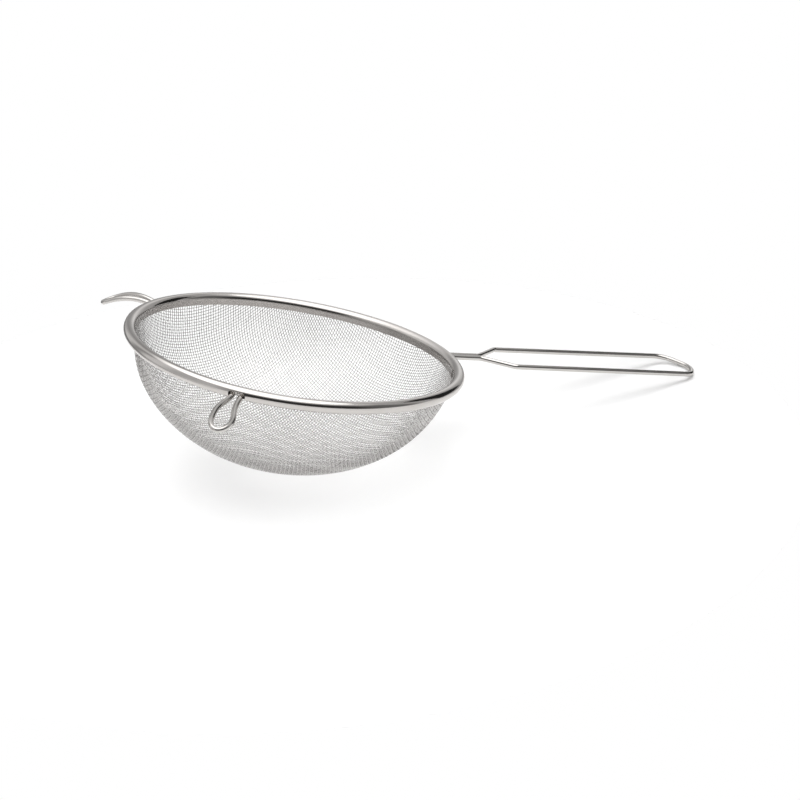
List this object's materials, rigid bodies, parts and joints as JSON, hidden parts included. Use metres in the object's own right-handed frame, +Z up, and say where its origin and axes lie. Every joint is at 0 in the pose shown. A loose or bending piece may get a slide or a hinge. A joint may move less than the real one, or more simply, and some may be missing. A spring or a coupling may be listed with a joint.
{
  "type": "wire mesh sieve",
  "caption": "Round woven-wire kitchen sieve with a rolled strip rim, two rest loops and a hairpin wire handle, lying on its bowl and handle end.",
  "frame": {"origin": "on the table under the middle of the whole sieve: the centre of its bounding box at the bottom", "axes": "+X from the bowl to the handle end, +Z up from the table the sieve lies on, +Y to the left seen from the bowl towards the handle"},
  "size_m": [0.3632, 0.2182, 0.0985],
  "materials": {
    "rim_steel": "polished stainless sheet, smooth and bright with soft draw marks",
    "frame_steel": "polished stainless wire",
    "cloth_steel": "bright drawn stainless wire"
  },
  "bodies": {
    "root": {"rim_strip": "rim_steel", "frame_wire": "frame_steel", "warp_wire_01": "cloth_steel", "warp_wire_02": "cloth_steel", "warp_wire_03": "cloth_steel", "warp_wire_04": "cloth_steel", "warp_wire_05": "cloth_steel", "warp_wire_06": "cloth_steel", "warp_wire_07": "cloth_steel", "warp_wire_08": "cloth_steel", "warp_wire_09": "cloth_steel", "warp_wire_10": "cloth_steel", "warp_wire_11": "cloth_steel", "warp_wire_12": "cloth_steel", "warp_wire_13": "cloth_steel", "warp_wire_14": "cloth_steel", "warp_wire_15": "cloth_steel", "warp_wire_16": "cloth_steel", "warp_wire_17": "cloth_steel", "warp_wire_18": "cloth_steel", "warp_wire_19": "cloth_steel", "warp_wire_20": "cloth_steel", "warp_wire_21": "cloth_steel", "weft_wire_01": "cloth_steel", "weft_wire_02": "cloth_steel", "weft_wire_03": "cloth_steel", "weft_wire_04": "cloth_steel", "weft_wire_05": "cloth_steel", "weft_wire_06": "cloth_steel", "weft_wire_07": "cloth_steel", "weft_wire_08": "cloth_steel", "weft_wire_09": "cloth_steel", "weft_wire_10": "cloth_steel", "weft_wire_11": "cloth_steel", "weft_wire_12": "cloth_steel", "weft_wire_13": "cloth_steel", "weft_wire_14": "cloth_steel", "weft_wire_15": "cloth_steel", "weft_wire_16": "cloth_steel", "weft_wire_17": "cloth_steel", "weft_wire_18": "cloth_steel", "weft_wire_19": "cloth_steel", "weft_wire_20": "cloth_steel", "weft_wire_21": "cloth_steel"}
  },
  "joints": []
}
